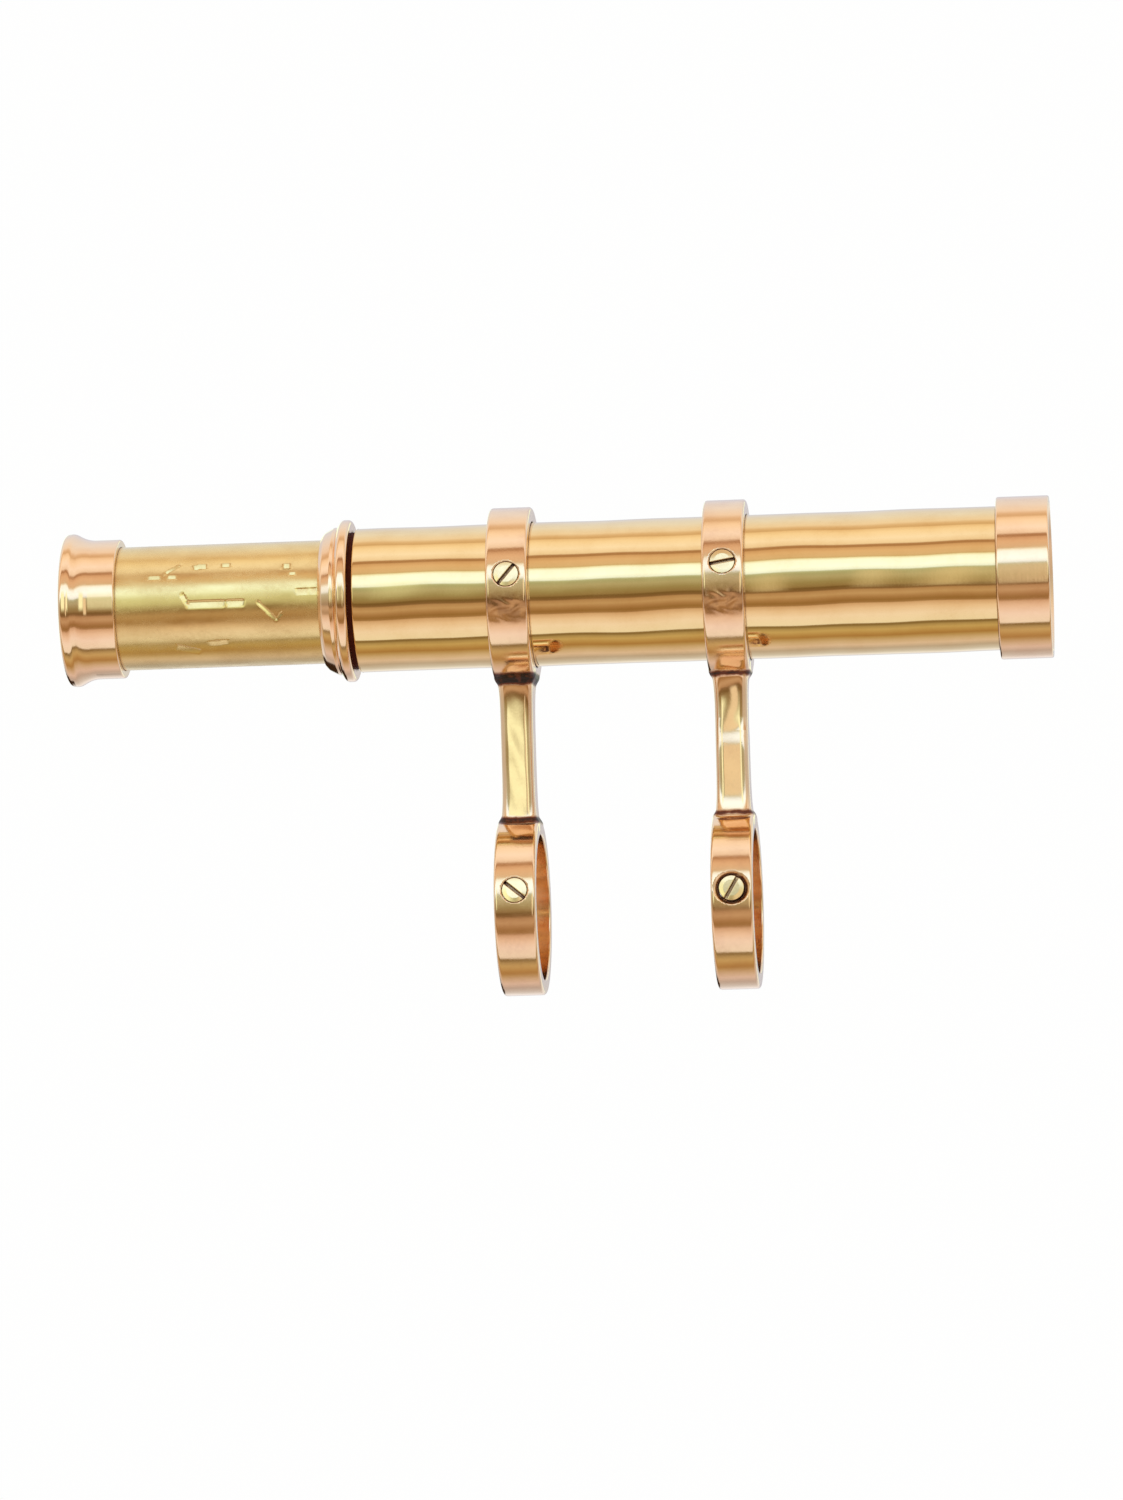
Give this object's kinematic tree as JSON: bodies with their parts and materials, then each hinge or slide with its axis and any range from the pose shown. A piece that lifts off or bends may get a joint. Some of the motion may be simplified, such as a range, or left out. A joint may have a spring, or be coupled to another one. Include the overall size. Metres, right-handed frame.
{
  "type": "finder scope",
  "caption": "Small brass draw-tube finder telescope in two ring brackets that clamp it parallel to a larger telescope's tube.",
  "frame": {"origin": "on the axis of the two lower ring bores, which is the host tube's axis, midway between the brackets", "axes": "+X along both tube axes towards the objective and the sky, +Z from the host's axis up to the finder's axis"},
  "size_m": [0.1435, 0.0254, 0.0709],
  "materials": {
    "cast_brass": "polished casting, softly rounded edges",
    "tube_brass": "polished drawn tube",
    "turned_brass": "polished turned brass",
    "draw_brass": "polished thin tube with small handling marks",
    "screw_brass": "turned brass, dull in the slot",
    "blackened_brass": "blackened matt, against stray light",
    "optical_glass": "polished clear glass",
    "wire": "fine drawn wire"
  },
  "bodies": {
    "brackets": {"rear_bracket": "cast_brass", "front_bracket": "cast_brass"},
    "barrel": {"main_tube": "tube_brass", "draw_collar": "turned_brass", "glare_stop": "blackened_brass", "objective_cell": "turned_brass", "objective_flint_lens": "optical_glass", "objective_crown_lens": "optical_glass", "objective_retaining_ring": "blackened_brass"},
    "draw_guide": {"draw_stop_ring": "turned_brass"},
    "draw": {"draw_tube": "draw_brass", "eyecup": "turned_brass", "eyepiece_cell": "turned_brass", "eye_lens": "optical_glass", "eye_lens_ring": "blackened_brass", "lens_spacer": "blackened_brass", "field_lens": "optical_glass", "field_lens_ring": "blackened_brass", "reticle_ring": "blackened_brass", "cross_wires": "wire"},
    "rear_upper_screw": {"rear_upper_screw": "screw_brass"},
    "front_upper_screw": {"front_upper_screw": "screw_brass"},
    "rear_lower_screw": {"rear_lower_screw": "screw_brass"},
    "front_lower_screw": {"front_lower_screw": "screw_brass"}
  },
  "joints": [
    {"name": "barrel_slide", "type": "slide", "parent": "brackets", "child": "barrel", "axis": [1, 0, 0], "range_m": [-0.035, 0.019]},
    {"name": "draw_slide", "type": "slide", "parent": "barrel", "child": "draw_guide", "axis": [1, 0, 0], "range_m": [-0.004, 0.029]},
    {"name": "draw_twist", "type": "hinge", "parent": "draw_guide", "child": "draw", "pos_m": [-0.05, 0, 0.0455], "axis": [1, 0, 0], "continuous": true},
    {"name": "rear_upper_screw_turn", "type": "hinge", "parent": "brackets", "child": "rear_upper_screw", "pos_m": [-0.0156, -0.01256, 0.04771], "axis": [0, -0.9848, 0.1736], "range_deg": [0, 450]},
    {"name": "front_upper_screw_turn", "type": "hinge", "parent": "brackets", "child": "front_upper_screw", "pos_m": [0.0156, -0.0124, 0.04848], "axis": [0, -0.9724, 0.2334], "range_deg": [0, 450]},
    {"name": "rear_lower_screw_turn", "type": "hinge", "parent": "brackets", "child": "rear_lower_screw", "pos_m": [-0.0156, -0.01256, 0.00221], "axis": [0, -0.9848, 0.1736], "range_deg": [0, 450]},
    {"name": "front_lower_screw_turn", "type": "hinge", "parent": "brackets", "child": "front_lower_screw", "pos_m": [0.0156, -0.01265, 0.00155], "axis": [0, -0.9925, 0.1219], "range_deg": [0, 450]}
  ]
}
